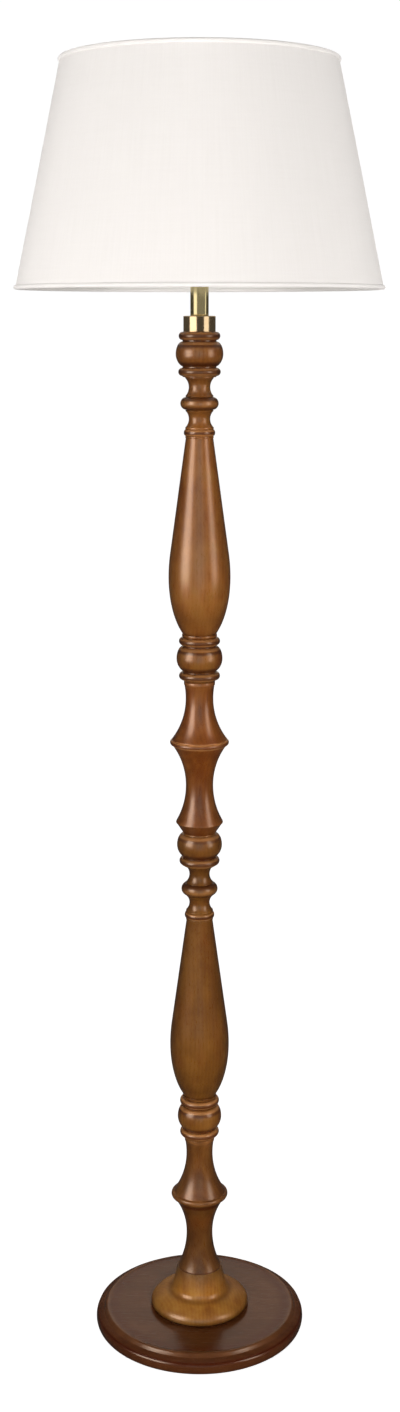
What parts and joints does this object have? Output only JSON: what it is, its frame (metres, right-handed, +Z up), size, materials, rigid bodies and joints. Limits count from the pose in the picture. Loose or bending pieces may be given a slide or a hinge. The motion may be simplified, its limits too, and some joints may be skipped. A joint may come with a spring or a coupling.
{
  "type": "floor lamp",
  "caption": "Turned wooden floor lamp with a weighted round base, a baluster column, a brass riser and a tapered linen shade.",
  "frame": {"origin": "on the floor at the column's axis, under the foot pads", "axes": "+Z up along the column, +Y to the back where the cord inlet is, +X towards the switch button"},
  "size_m": [0.45, 0.45, 1.6485],
  "materials": {
    "column_wood": "satin honey-brown stain and lacquer",
    "base_wood": "satin mahogany-brown stain and lacquer",
    "brass": "polished",
    "contact_brass": "plain",
    "zinc_steel": "zinc plated",
    "ballast_iron": "black paint on cast iron",
    "cover_board": "dark hardboard",
    "pad_rubber": "matt",
    "bush_plastic": "matt",
    "core_plastic": "moulded thermoset",
    "cap_metal": "bright rolled thread",
    "bulb_glass": "opal",
    "frame_wire": "white powder coat",
    "liner": "white styrene sheet",
    "linen": "plain-woven white linen"
  },
  "bodies": {
    "lamp": {"base_disc": "base_wood", "ballast_disc": "ballast_iron", "ballast_screws": "zinc_steel", "base_cover": "cover_board", "cover_screws": "zinc_steel", "foot_pads": "pad_rubber", "cord_bush": "bush_plastic", "base_washer": "zinc_steel", "base_nut": "zinc_steel", "bell_foot": "column_wood", "foot_stem": "column_wood", "lower_baluster": "column_wood", "middle_spool": "column_wood", "upper_baluster": "column_wood", "lower_tube": "zinc_steel", "tube_coupler": "contact_brass", "upper_tube": "zinc_steel", "brass_collar": "brass", "collar_washer": "zinc_steel", "collar_nut": "zinc_steel", "brass_riser": "brass", "holder_cap": "brass", "holder_set_screw": "zinc_steel", "holder_body": "brass", "holder_insulator": "core_plastic", "thread_shell": "contact_brass", "centre_contact": "contact_brass", "fixed_contacts": "contact_brass", "terminal_screws": "zinc_steel"},
    "shade": {"fitter_ring": "frame_wire", "carrier_arms": "frame_wire", "bottom_wire": "frame_wire", "top_wire": "frame_wire", "shade_liner": "liner", "shade_linen": "linen", "bottom_hem": "linen", "top_hem": "linen"},
    "retainer": {"retaining_ring": "brass"},
    "bulb": {"bulb_cap": "cap_metal", "bulb_tip": "ballast_iron", "bulb_glass": "bulb_glass"},
    "switch": {"switch_bar": "brass", "switch_bridge": "contact_brass"}
  },
  "joints": [
    {"name": "shade_turn", "type": "hinge", "parent": "lamp", "child": "shade", "pos_m": [0, 0, 1.45], "axis": [0, 0, 1], "continuous": true},
    {"name": "retainer_turn", "type": "hinge", "parent": "lamp", "child": "retainer", "pos_m": [0, 0, 1.455], "axis": [0, 0, 1], "continuous": true},
    {"name": "bulb_turn", "type": "hinge", "parent": "lamp", "child": "bulb", "pos_m": [0, 0, 1.47], "axis": [0, 0, 1], "continuous": true},
    {"name": "switch_push", "type": "slide", "parent": "lamp", "child": "switch", "axis": [-1, 0, 0], "range_m": [0, 0.006]}
  ]
}
